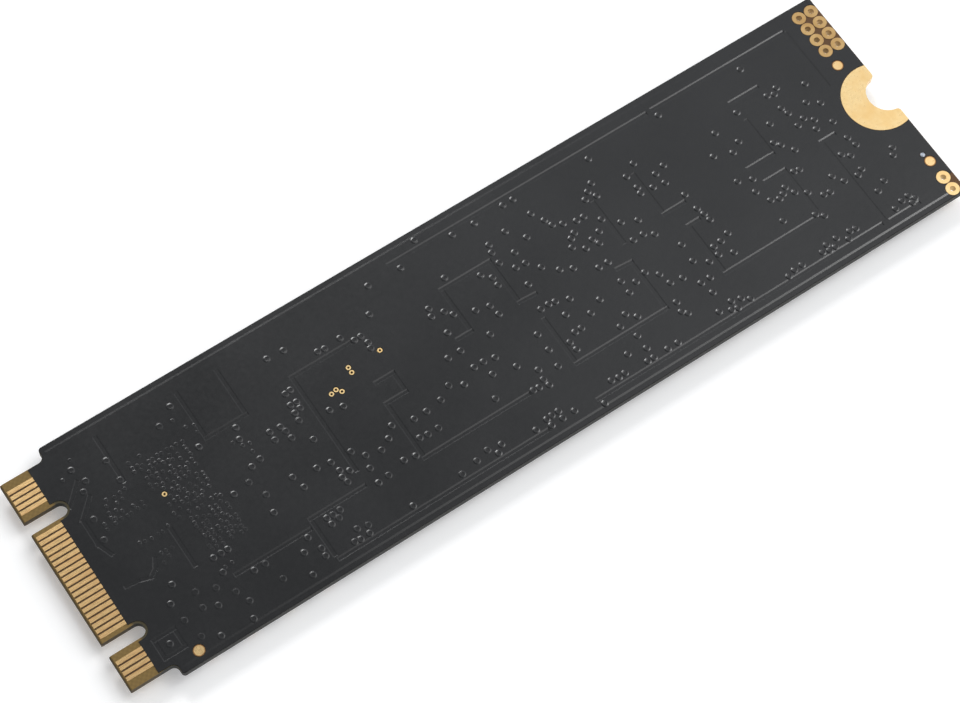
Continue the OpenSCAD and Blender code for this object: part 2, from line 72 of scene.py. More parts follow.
class Signal:
    """One output socket of a shader, on which Python's operators work."""

    def __init__(self, graph: "Graph", socket: bpy.types.NodeSocket) -> None:
        """Keeps the graph that new nodes go to, and the output socket."""
        self.graph = graph
        self.socket = socket

    def math(self, operation: str, *values: Any, clamp: bool = False) -> "Signal":
        """Adds one Math node on the values, clamped to 0 to 1 where that is asked."""
        settings = {"operation": operation, "use_clamp": clamp}
        return self.graph.node("ShaderNodeMath", settings, dict(enumerate(values)))

    def __add__(self, other: Any) -> "Signal":
        """Adds a number or a signal."""
        return self.math("ADD", self, other)

    def __radd__(self, other: Any) -> "Signal":
        """Adds to a number."""
        return self.math("ADD", other, self)

    def __sub__(self, other: Any) -> "Signal":
        """Subtracts a number or a signal."""
        return self.math("SUBTRACT", self, other)

    def __rsub__(self, other: Any) -> "Signal":
        """Subtracts from a number."""
        return self.math("SUBTRACT", other, self)

    def __mul__(self, other: Any) -> "Signal":
        """Multiplies by a number or a signal."""
        return self.math("MULTIPLY", self, other)

    def __rmul__(self, other: Any) -> "Signal":
        """Multiplies a number."""
        return self.math("MULTIPLY", other, self)

    def step(self, low: float, high: float) -> "Signal":
        """Rises from 0 to 1 as the signal goes from low to high.

        Args:
            low: The value at which the result is 0.
            high: The value at which the result is 1.

        Returns:
            The risen signal.
        """
        settings = {"clamp": True, "interpolation_type": "SMOOTHSTEP"}
        values = {"Value": self, "From Min": low, "From Max": high}
        return self.graph.node("ShaderNodeMapRange", settings, values)

    def blend(self, first: Any, second: Any) -> "Signal":
        """Mixes two colours by this signal, from the first at 0 to the second at 1."""
        return self.graph.mix("MIX", self, first, second)


class Graph:
    """The node tree of a material or of the world."""

    def __init__(self, owner: Any) -> None:
        """Empties the owner's tree.

        Args:
            owner: A material or a world.
        """
        owner.use_nodes = True
        self.owner = owner
        self.tree = owner.node_tree
        self.tree.nodes.clear()

    def add(self, kind: str, settings: Mapping[str, Any], sockets: Mapping[Any, Any]) -> Any:
        """Adds a node, sets it up and feeds its sockets.

        Args:
            kind: The node's type.
            settings: The node's own settings. Stops are a ramp's places and colours.
            sockets: Values or signals for its inputs, by name or by number.

        Returns:
            The node.
        """
        made = self.tree.nodes.new(kind)
        for name, value in settings.items():
            if name == "stops":
                self._set_stops(made.color_ramp, value)
            else:
                setattr(made, name, value)
        for key, value in sockets.items():
            target = made.inputs[key]
            if isinstance(value, Signal):
                self.tree.links.new(value.socket, target)
            elif target.type == "RGBA" and len(value) == 3:
                target.default_value = (*value, 1.0)
            else:
                target.default_value = value
        return made

    def node(
        self,
        kind: str,
        settings: Mapping[str, Any] | None = None,
        sockets: Mapping[Any, Any] | None = None,
        output: Any = 0,
    ) -> Signal:
        """Adds a node and gives one of its outputs, by its name or number."""
        made = self.add(kind, settings or {}, sockets or {})
        return Signal(self, made.outputs[output])

    @staticmethod
    def _set_stops(ramp: bpy.types.ColorRamp, stops: Sequence[tuple[float, Colour]]) -> None:
        """Sets a ramp's stops.

        Args:
            ramp: The ramp.
            stops: Each stop's place and colour.
        """
        while len(ramp.elements) < len(stops):
            ramp.elements.new(1.0)
        for element, (place, colour) in zip(ramp.elements, stops):
            element.position = place
            element.color = (*colour, 1.0)

    def mix(self, kind: str, factor: Any, first: Any, second: Any) -> Signal:
        """Mixes two colours by a factor, from the first at 0 to the second at 1."""
        settings = {"data_type": "RGBA", "blend_type": kind}
        return self.node("ShaderNodeMix", settings, {0: factor, 6: first, 7: second}, 2)

    def place(self) -> Signal:
        """Returns the place on the object, in metres."""
        return self.node("ShaderNodeTexCoord", output="Object")

    def axis(self, name: str) -> Signal:
        """Returns one coordinate of the place, X, Y or Z, in metres."""
        return self.node("ShaderNodeSeparateXYZ", sockets={0: self.place()}, output=name)

    def stretched(self, scale: Sequence[float]) -> Signal:
        """Returns the place, scaled along each axis."""
        settings = {"vector_type": "POINT"}
        return self.node("ShaderNodeMapping", settings, {"Vector": self.place(), "Scale": scale})

    def noise(self, grain: float, detail: float = 2.0, where: Signal | None = None) -> Signal:
        """Adds a noise around one half, with spots of that grain in millimetres."""
        values = {"Vector": where or self.place(), "Scale": 1 / (grain * MM), "Detail": detail}
        return self.node("ShaderNodeTexNoise", {"noise_dimensions": "3D"}, values)

    def cells(self, size: float, where: Signal | None = None, output: str = "Distance") -> Signal:
        """Adds a cell pattern, with cells of that size in millimetres."""
        values = {"Vector": where or self.place(), "Scale": 1 / (size * MM)}
        return self.node("ShaderNodeTexVoronoi", {}, values, output)

    def bump(self, height: Signal, depth: float, under: Signal | None = None) -> Signal:
        """Adds a bump.

        Args:
            height: The height, from 0 to 1.
            depth: The depth of the relief, in millimetres.
            under: A bump that this one lies on.

        Returns:
            The bumped normal.
        """
        values: dict[str, Any] = {"Height": height, "Distance": depth * MM, "Strength": 1.0}
        if under is not None:
            values["Normal"] = under
        return self.node("ShaderNodeBump", {}, values)

    def surface(self, **sockets: Any) -> bpy.types.Material:
        """Ends a material with one Principled shader.

        Args:
            sockets: The shader's inputs, with an underscore for each space.

        Returns:
            The material.
        """
        named = {name.replace("_", " "): value for name, value in sockets.items()}
        shader = self.node("ShaderNodeBsdfPrincipled", {}, named)
        self.node_out(shader)
        return self.owner

    def node_out(self, shader: Signal) -> None:
        """Links a shader to the owner's output."""
        kind = "ShaderNodeOutputWorld" if self.owner.id_type == "WORLD" else "ShaderNodeOutputMaterial"
        self.add(kind, {}, {"Surface": shader})


def new_graph(name: str) -> Graph:
    """Returns an empty graph of a new material with that name."""
    return Graph(bpy.data.materials.new(name))


@dataclass(frozen=True)
class SolderMask:
    """Black solder mask, a thin lacquer with a soft gloss.

    Attributes:
        tint: Colour where the lacquer is thick.
        thin_tint: Colour where it is thin.
        rough: Its roughness.
        cloud: Size of its thin places, in millimetres.
        peel: Size of its orange peel, in millimetres.
        speck: Size of its specks, in millimetres.
    """

    tint: Colour = (0.0055, 0.0058, 0.0064)
    thin_tint: Colour = (0.0075, 0.0078, 0.0085)
    rough: float = 0.22
    cloud: float = 9.0
    peel: float = 0.9
    speck: float = 0.35

    def material(self) -> bpy.types.Material:
        """Makes the lacquer, with a fine orange peel and faint cloudiness.

        Returns:
            The material.
        """
        graph = new_graph("solder_mask")
        cloud = graph.noise(self.cloud, 3.0)
        speck = graph.noise(self.speck, 2.0)
        colour = cloud.step(0.35, 0.65).blend(self.tint, self.thin_tint)
        roughness = self.rough + 0.06 * (cloud - 0.5) + 0.06 * (speck - 0.5)
        peel = graph.bump(graph.noise(self.peel, 2.0), 0.004)
        grain = graph.bump(speck, 0.0012, peel)
        return graph.surface(Base_Color=colour, Roughness=roughness, Normal=grain, IOR=1.54)


@dataclass(frozen=True)
class Laminate:
    """Glass cloth in resin, cut at the edges, with copper layers inside.

    Attributes:
        face: Colour of the bare faces.
        wall: Colour of the cut walls.
        gap_and_shade: Colour of the strips between the contacts, the laminate's own darker brown with
            painted shade from the contacts' walls added.
        notch: Colour of the faces further in than the contacts, by the notches.
        screw_end: Colour of the faces between the rings of the screw end.
        tip_wall: Colour of the tongue's cut walls.
        rim: Colour of the faces' thin strip along the long edges.
        core: The lowest and highest Z of the laminate, in metres.
        contacts: The lowest and highest X of the contacts, in metres.
        blocks: The lowest and highest Y of each block of contacts, in metres.
        edge: Distance from the middle at which the rim starts, in metres.
        weave: Length of one turn of the weave, in millimetres.
        fibre: Size of the cut fibres, in millimetres.
        skin: Share of the height that counts as a face.
        layers: Number of faint copper lines on a wall, less one.
    """

    face: Colour
    wall: Colour
    gap_and_shade: Colour
    notch: Colour
    screw_end: Colour
    tip_wall: Colour
    rim: Colour
    core: tuple[float, float]
    contacts: Point
    blocks: tuple[Point, ...]
    edge: float
    weave: float = 0.45
    fibre: float = 0.12
    skin: float = 0.04
    layers: int = 5

    @staticmethod
    def _within(side: Signal, reach: Point) -> Signal:
        """Tells whether a coordinate lies within a reach, softly bounded.

        Args:
            side: The coordinate.
            reach: Its lowest and highest value.

        Returns:
            A signal that is 1 within the reach.
        """
        blur = 0.04 * MM
        low, high = reach
        return side.step(low - blur, low + blur) * (1 - side.step(high - blur, high + blur))

    def _wall(self, graph: Graph, share: Signal, fibre: Signal) -> Signal:
        """Colours the cut walls, with a faint line at each copper layer.

        Args:
            graph: The material's graph.
            share: The height in the laminate, from 0 to 1.
            fibre: The pattern of the cut fibres.

        Returns:
            The colour.
        """
        turns = share * (self.layers * math.tau)
        copper_line = turns.math("COSINE", turns).step(0.93, 0.99)
        resin = fibre.step(0.3, 0.7).blend(self.wall, tuple(1.5 * c for c in self.wall))
        blur = 0.3 * MM
        past_tongue = graph.axis("X").step(self.contacts[1] - blur, self.contacts[1] + blur)
        resin = past_tongue.blend(self.tip_wall, resin)
        return graph.mix("MIX", 0.4 * copper_line, resin, (0.20, 0.13, 0.07))

    def material(self) -> bpy.types.Material:
        """Makes the laminate, woven on its faces and layered on its walls.

        Returns:
            The material.
        """
        graph = new_graph("laminate")
        low, high = self.core
        share = (graph.axis("Z") - low) * (1 / (high - low))
        skin = self.skin
        on_wall = share.step(skin, 2 * skin) * (1 - share.step(1 - 2 * skin, 1 - skin))
        fibre = graph.noise(self.fibre, 3.0, graph.stretched((1.0, 1.0, 3.0)))
        along, across = graph.axis("X"), graph.axis("Y")
        turn = math.tau / (self.weave * MM)
        warp, weft = (side.math("SINE", side * turn) for side in (along, across))
        weave = (warp * weft) * 0.5 + 0.5
        face = weave.blend(self.face, tuple(0.8 * c for c in self.face))
        in_block = self._within(across, self.blocks[0])
        for block in self.blocks[1:]:
            in_block = in_block + self._within(across, block)
        # Painted shade: the strips between the contacts get a darker colour that stands in partly for the
        # shade cast by the contacts' walls.
        face = graph.mix("MIX", self._within(along, self.contacts) * in_block, face, self.gap_and_shade)
        from_middle = across.math("ABSOLUTE", across)
        inner = along.step(self.contacts[1] + 0.1 * MM, self.contacts[1] + 0.5 * MM)
        face = graph.mix("MIX", inner, face, along.step(0, 0.01).blend(self.notch, self.screw_end))
        at_rim = from_middle.step(self.edge - 0.1 * MM, self.edge) * inner
        face = graph.mix("MIX", at_rim, face, self.rim)
        colour = graph.mix("MIX", on_wall, face, self._wall(graph, share, fibre))
        normal = graph.bump(weave, 0.003, graph.bump(fibre, 0.008))
        roughness = 0.6 + 0.25 * (fibre - 0.5)
        return graph.surface(
            Base_Color=colour, Roughness=roughness, Normal=normal, Specular_IOR_Level=0.22
        )


@dataclass(frozen=True)
class GoldPlate:
    """Thin gold on nickel and copper.

    Attributes:
        name: Name of the material.
        tint: Its colour.
        dull: Colour of its duller patches.
        rough: Its roughness.
        streak: How far its grain is drawn out along the card.
        grain: Size of the grain, in millimetres.
        patch: Size of the duller patches, in millimetres.
        dents: Size of the cells that its small dents lie in, in millimetres.
        centres: Middles of the round pads that have a dark edge, in metres.
        edge_from: Distance from a middle at which the edge starts, in millimetres.
        edge: Colour of the edge.
    """

    name: str
    tint: Colour
    dull: Colour
    rough: float
    streak: float = 1.0
    grain: float = 0.25
    patch: float = 1.3
    dents: float = 0.8
    centres: tuple[Point, ...] = ()
    edge_from: float = 0.38
    edge: Colour = (0.34, 0.17, 0.07)

    def _near_edge(self, graph: Graph) -> Signal:
        """Finds the edges of the round pads.

        Args:
            graph: The material's graph.

        Returns:
            A signal that is 1 there.
        """
        along, across = graph.axis("X"), graph.axis("Y")
        least = None
        for x, y in self.centres:
            squared = (along - x) * (along - x) + (across - y) * (across - y)
            away = squared.math("SQRT", squared)
            least = away if least is None else least.math("MINIMUM", least, away)
        blur = 0.06
        return least.step(self.edge_from * MM, (self.edge_from + blur) * MM)

    def material(self) -> bpy.types.Material:
        """Makes the gold, with its grain, dull patches and small dents.

        Returns:
            The material.
        """
        graph = new_graph(self.name)
        drawn = graph.stretched((1 / self.streak, 1.0, 1.0))
        patch = graph.noise(self.patch, 3.0, drawn)
        grain = graph.noise(self.grain, 3.0, drawn)
        dents = graph.cells(self.dents)
        colour = patch.step(0.35, 0.75).blend(self.tint, self.dull)
        if self.centres:
            colour = self._near_edge(graph).blend(colour, self.edge)
        roughness = self.rough + 0.16 * (grain - 0.5) + 0.10 * (patch - 0.5)
        normal = graph.bump(grain, 0.0035, graph.bump(dents.step(0.02, 0.14), 0.002))
        return graph.surface(Base_Color=colour, Metallic=1.0, Roughness=roughness, Normal=normal)


@dataclass(frozen=True)
class Tin:
    """Tin or solder: silvery, slightly cloudy metal.

    Attributes:
        name: Name of the material.
        tint: Its colour.
        rough: Its roughness.
        grain: Size of its frost, in millimetres.
    """

    name: str
    tint: Colour
    rough: float
    grain: float

    def material(self) -> bpy.types.Material:
        """Makes the metal, with a frosted grain.

        Returns:
            The material.
        """
        graph = new_graph(self.name)
        frost = graph.noise(self.grain, 4.0)
        colour = frost.step(0.3, 0.7).blend(self.tint, tuple(0.8 * c for c in self.tint))
        roughness = self.rough + 0.3 * (frost - 0.5)
        normal = graph.bump(frost, 0.006)
        return graph.surface(Base_Color=colour, Metallic=1.0, Roughness=roughness, Normal=normal)


@dataclass(frozen=True)
class Moulding:
    """Epoxy moulding of a chip, on a thin substrate where it has one.

    Attributes:
        name: Name of the material.
        tint: Colour of the moulding.
        rough: Its roughness.
        substrate_from: Z above which the substrate shows, in metres, or none.
        filler: Size of the filler's grains, in millimetres.
        cloud: Size of its duller places, in millimetres.
    """

    name: str
    tint: Colour
    rough: float
    substrate_from: float | None = None
    filler: float = 0.09
    cloud: float = 2.5

    def material(self) -> bpy.types.Material:
        """Makes the moulding, with filler grains and a fine satin relief.

        Returns:
            The material.
        """
        graph = new_graph(self.name)
        filler = graph.cells(self.filler)
        cloud = graph.noise(self.cloud, 3.0)
        spotted = filler.step(0.1, 0.5).blend(tuple(1.6 * c for c in self.tint), self.tint)
        colour = graph.mix("MULTIPLY", 0.35, spotted, cloud.step(0.3, 0.7).blend(grey(0.7), grey(1.0)))
        if self.substrate_from is not None:
            edge = 0.005 * MM
            on_substrate = graph.axis("Z").step(self.substrate_from - edge, self.substrate_from + edge)
            fibre = graph.noise(0.15, 3.0)
            green = fibre.blend((0.010, 0.030, 0.016), (0.022, 0.055, 0.030))
            colour = graph.mix("MIX", on_substrate, colour, green)
        roughness = self.rough + 0.15 * (cloud - 0.5)
        normal = graph.bump(filler, 0.006, graph.bump(graph.noise(0.3, 3.0), 0.004))
        return graph.surface(Base_Color=colour, Roughness=roughness, Normal=normal, IOR=1.5)


@dataclass(frozen=True)
class Fired:
    """A fired body, such as a ceramic chip's or a ferrite's.

    Attributes:
        name: Name of the material.
        tint: Its colour.
        fleck: Colour of its flecks.
        rough: Its roughness.
        grain: Size of its grain, in millimetres.
        tone: Size of the cells that differ a little in tone, in millimetres.
    """

    name: str
    tint: Colour
    fleck: Colour
    rough: float
    grain: float
    tone: float = 1.4

    def material(self) -> bpy.types.Material:
        """Makes the body, flecked and slightly uneven.

        Returns:
            The material.
        """
        graph = new_graph(self.name)
        grain = graph.noise(self.grain, 4.0)
        each = graph.cells(self.tone, output="Color")
        colour = grain.step(0.35, 0.7).blend(self.tint, self.fleck)
        toned = graph.mix("SOFT_LIGHT", 0.25, colour, each)
        roughness = self.rough + 0.2 * (grain - 0.5)
        normal = graph.bump(grain, 0.008)
        return graph.surface(Base_Color=toned, Roughness=roughness, Normal=normal, IOR=1.55)


def dress(nodes: Iterable[str], material: bpy.types.Material) -> None:
    """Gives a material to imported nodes.

    Args:
        nodes: The nodes' names.
        material: The material.
    """
    for name in nodes:
        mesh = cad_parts[name].data
        mesh.materials.clear()
        mesh.materials.append(material)
        LOG.info("%s is dressed in %s", name, material.name)


def finished_piece(name: str, shape: bmesh.types.BMesh, material: bpy.types.Material) -> bpy.types.Object:
    """Makes an object of a bmesh, at the origin of the frame.

    Args:
        name: The piece's name.
        shape: The shape, in metres. It is freed.
        material: Its material.

    Returns:
        The object.
    """
    mesh = bpy.data.meshes.new(name)
    shape.to_mesh(mesh)
    shape.free()
    mesh.materials.append(material)
    piece = bpy.data.objects.new(name, mesh)
    bpy.context.scene.collection.objects.link(piece)
    return piece


def hand_over(piece: bpy.types.Object, replaced: Sequence[str] = ()) -> None:
    """Fastens a finished piece to the card and reports it.

    Args:
        piece: The piece.
        replaced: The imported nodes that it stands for.
    """
    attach(piece, ROOT)
    if replaced:
        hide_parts(*replaced)
    LOG.info("%s has %d faces", piece.name, len(piece.data.polygons))


class Card:
    """Where things are on the card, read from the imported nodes."""

    def __init__(self) -> None:
        """Reads the board's and the coatings' boxes."""
        board_low, board_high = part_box("circuit_board")
        self.tip = board_low.x
        self.half_width = (board_high.y - board_low.y) / 2 / MM
        self.core = (board_low.z, board_high.z)
        self.bare_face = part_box("bare_side_mask")[1].z

    def spot(self, along: float, across: float, z: float) -> Vector:
        """Turns millimetres from the tip and from the middle into the frame's metres."""
        return Vector((self.tip + along * MM, across * MM, z))

    def contact_blocks(self) -> tuple[Point, ...]:
        """Finds the blocks of contacts.

        Returns:
            Where each block starts and ends across the card, in metres.
        """
        least = 1.0
        sides = sorted(at[1] for at, _ in self.solids_of("bare_side_contacts"))
        starts = [side for last, side in zip([-math.inf, *sides], sides) if side - last > least]
        ends = [side for side, later in zip(sides, [*sides[1:], math.inf]) if later - side > least]
        return tuple((low * MM, high * MM) for low, high in zip(starts, ends))

    def solids_of(self, name: str) -> list[tuple[Point, float]]:
        """Lists where a node's solids lie.

        Args:
            name: The node's name.

        Returns:
            Each solid's middle on the card and its half length along it.
        """
        shape = bmesh.new()
        shape.from_mesh(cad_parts[name].data)
        bmesh.ops.remove_doubles(shape, verts=shape.verts, dist=0.0005 * MM)
        left = set(shape.verts)
        found = []
        while left:
            solid, edge = set(), [left.pop()]
            while edge:
                vert = edge.pop()
                solid.add(vert)
                for link in vert.link_edges:
                    other = link.other_vert(vert)
                    if other in left:
                        left.discard(other)
                        edge.append(other)
            sides = [[vert.co[axis] for vert in solid] for axis in (0, 1)]
            middle = [(min(side) + max(side)) / 2 for side in sides]
            half = (max(sides[0]) - min(sides[0])) / 2
            found.append((((middle[0] - self.tip) / MM, middle[1] / MM), half / MM))
        shape.free()
        return found


@dataclass
class BareCoat:
    """The bare side's mask, sunk where it runs over gaps in the copper.

    Attributes:
        gap_w: Width of a sunk line.
        along_d: Its depth where it runs along the card.
        across_d: Its depth where it doesn't.
        run: Width of its sloping walls.
        lit_run: Width of the wall that faces the lower long edge.
        rim_run: Width of the droop's slope at the lower edge.
        far_drop: How far it has drooped at the upper edge.
        rim_from: Distance from the connector tip at which the droop starts.
        rim_l: Its length.
        rim_in: Distance from the long edges to where the mask starts to droop.
        rim_drop: How far it has drooped at the lower edge.
    """

    gap_w: float = 0.42
    along_d: float = 0.028
    across_d: float = 0.008
    run: float = 0.075
    lit_run: float = 0.13
    rim_in: float = 0.62
    rim_run: float = 0.17
    far_drop: float = 0.008
    rim_from: float = 4.4
    rim_l: float = 75.2
    rim_drop: float = 0.035

    GAPS = (
        ((8.3, 9.3), (8.3, 5.0)),
        ((15.6, 9.0), (15.6, 4.55), (19.3, 4.55), (19.3, 9.0)),
        ((9.3, -0.5), (9.3, -4.0)),
        ((11.6, -6.4), (18.3, -6.4)),
        ((18.8, -9.2), (18.8, -5.7), (23.8, -5.7)),
        ((24.0, -4.2), (24.0, 5.3), (29.5, 5.3)),
        ((29.4, 1.2), (31.0, 1.2), (31.0, -0.75), (29.1, -0.75), (29.1, -6.3), (39.0, -6.3)),
        ((37.0, 0.8), (38.3, 0.8), (38.3, 5.2), (43.0, 5.2), (43.0, 0.8), (44.5, 0.7)),
        ((43.8, -1.6), (43.8, -6.2), (52.7, -6.2), (52.7, -1.2), (51.4, -1.1)),
        ((53.2, 4.9), (53.2, 0.6)),
        ((57.5, 5.2), (57.5, 0.9), (59.5, 0.9)),
        ((59.6, -1.05), (58.6, -1.05), (58.6, -6.25), (68.0, -6.25)),
        ((68.3, 6.35), (71.0, 6.35)),
        ((65.9, 0.5), (68.4, 0.5), (68.4, 4.2)),
        ((66.4, -1.25), (68.3, -1.25), (68.3, -5.6)),
        ((73.8, -0.8), (72.5, -0.8), (72.5, -9.4)),
        ((76.2, 9.2), (76.2, 3.2)),
        ((19.0, -9.7), (38.5, -9.7)),
        ((43.5, -9.7), (72.0, -9.7)),
        ((73.0, -9.8), (75.8, -9.8)),
        ((36.0, 9.4), (61.6, 9.4)),
        ((62.4, 9.45), (76.0, 9.45)),
        ((3.7, 5.4), (5.2, 6.9)),
        ((4.4, 0.3), (3.95, 1.5), (3.95, 3.9), (5.4, 5.3)),
        ((4.0, -2.6), (5.0, -2.7), (6.0, -3.0), (6.6, -2.6), (7.0, -1.9)),
        ((3.5, -7.5), (5.3, -7.5), (5.3, -9.2), (3.5, -9.2), (3.5, -7.5)),
    )

    def _trough(self, cutter: bmesh.types.BMesh, card: Card, start: Point, end: Point) -> None:
        """Adds the cutter of one straight stretch, with sloping sides and ends.

        Args:
            cutter: The bmesh of all cutters.
            card: The card.
            start: Where the stretch starts.
            end: Where it ends.
        """
        a, b = Vector(start), Vector(end)
        turn = math.atan2(b.y - a.y, b.x - a.x)
        middle = card.spot((a.x + b.x) / 2, (a.y + b.y) / 2, card.bare_face)
        over = self.along_d if abs(math.sin(turn)) < 0.1 else self.across_d
        size = Vector(((b - a).length + self.gap_w, self.gap_w, 2 * over)) * MM
        made = bmesh.ops.create_cube(cutter, size=1.0)["verts"]
        for vert in made:
            vert.co = Vector((vert.co.x * size.x, vert.co.y * size.y, vert.co.z * size.z))
            ends, side = math.copysign(1, vert.co.x), math.copysign(1, vert.co.y)
            slope = self.lit_run if side * math.cos(turn) > 0.9 else self.run
            vert.co += Vector((ends * self.run, side * slope, 0)) * MM * math.copysign(1, vert.co.z)
        bmesh.ops.transform(
            cutter, matrix=Matrix.Translation(middle) @ Matrix.Rotation(turn, 4, "Z"), verts=made
        )

    def _rim(self, cutter: bmesh.types.BMesh, card: Card, side: int) -> None:
        """Adds the cutter that makes the mask droop along one long edge.

        Args:
            cutter: The bmesh of all cutters.
            card: The card.
            side: Which edge, -1 or 1.
        """
        inner = card.half_width - self.rim_in
        outer = card.half_width + self.rim_in
        drop = self.rim_drop if side < 0 else self.far_drop
        corners = (
            (inner, 0.0), (inner + self.rim_run, -drop), (outer, -drop), (outer, 1.0), (inner, 1.0),
        )
        points = [card.spot(self.rim_from, side * y, card.bare_face + z * MM) for y, z in corners]
        face = cutter.faces.new([cutter.verts.new(point) for point in points])
        swept = bmesh.ops.extrude_face_region(cutter, geom=[face])["geom"]
        moved = [item for item in swept if isinstance(item, bmesh.types.BMVert)]
        bmesh.ops.translate(cutter, verts=moved, vec=(self.rim_l * MM, 0, 0))
        bmesh.ops.recalc_face_normals(cutter, faces=cutter.faces)

    def build(self, card: Card, material: bpy.types.Material) -> None:
        """Cuts the sunk lines into a copy of the mask.

        Args:
            card: The card.
            material: The mask's material.
        """
        shape = bmesh.new()
        shape.from_mesh(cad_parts["bare_side_mask"].data)
        bmesh.ops.remove_doubles(shape, verts=shape.verts, dist=0.0005 * MM)
        bmesh.ops.dissolve_limit(
            shape, angle_limit=math.radians(0.5), verts=shape.verts, edges=shape.edges
        )
        coat = finished_piece("bare_side_coat", shape, material)
        cutter_shape = bmesh.new()
        for line in self.GAPS:
            for start, end in zip(line, line[1:]):
                self._trough(cutter_shape, card, start, end)
        for side in (-1, 1):
            self._rim(cutter_shape, card, side)
        cutter = finished_piece("cutter", cutter_shape, material)
        cut = coat.modifiers.new("gaps", "BOOLEAN")
        cut.operation = "DIFFERENCE"
        cut.solver = "EXACT"
        cut.use_self = True
        cut.object = cutter
        freeze(coat)
        bpy.data.objects.remove(cutter)
        hand_over(coat, ["bare_side_mask"])


def freeze(piece: bpy.types.Object) -> None:
    """Applies a piece's modifiers.

    Args:
        piece: The piece.
    """
    evaluated = piece.evaluated_get(bpy.context.evaluated_depsgraph_get())
    mesh = bpy.data.meshes.new_from_object(evaluated)
    piece.modifiers.clear()
    piece.data = mesh


class ViaSize(Enum):
    """The two sizes of tented vias, as foot, rim and dimple radius and height."""

    PLAIN = (0.325, 0.215, 0.12, 0.0295)
    FINE = (0.20, 0.13, 0.06, 0.0130)


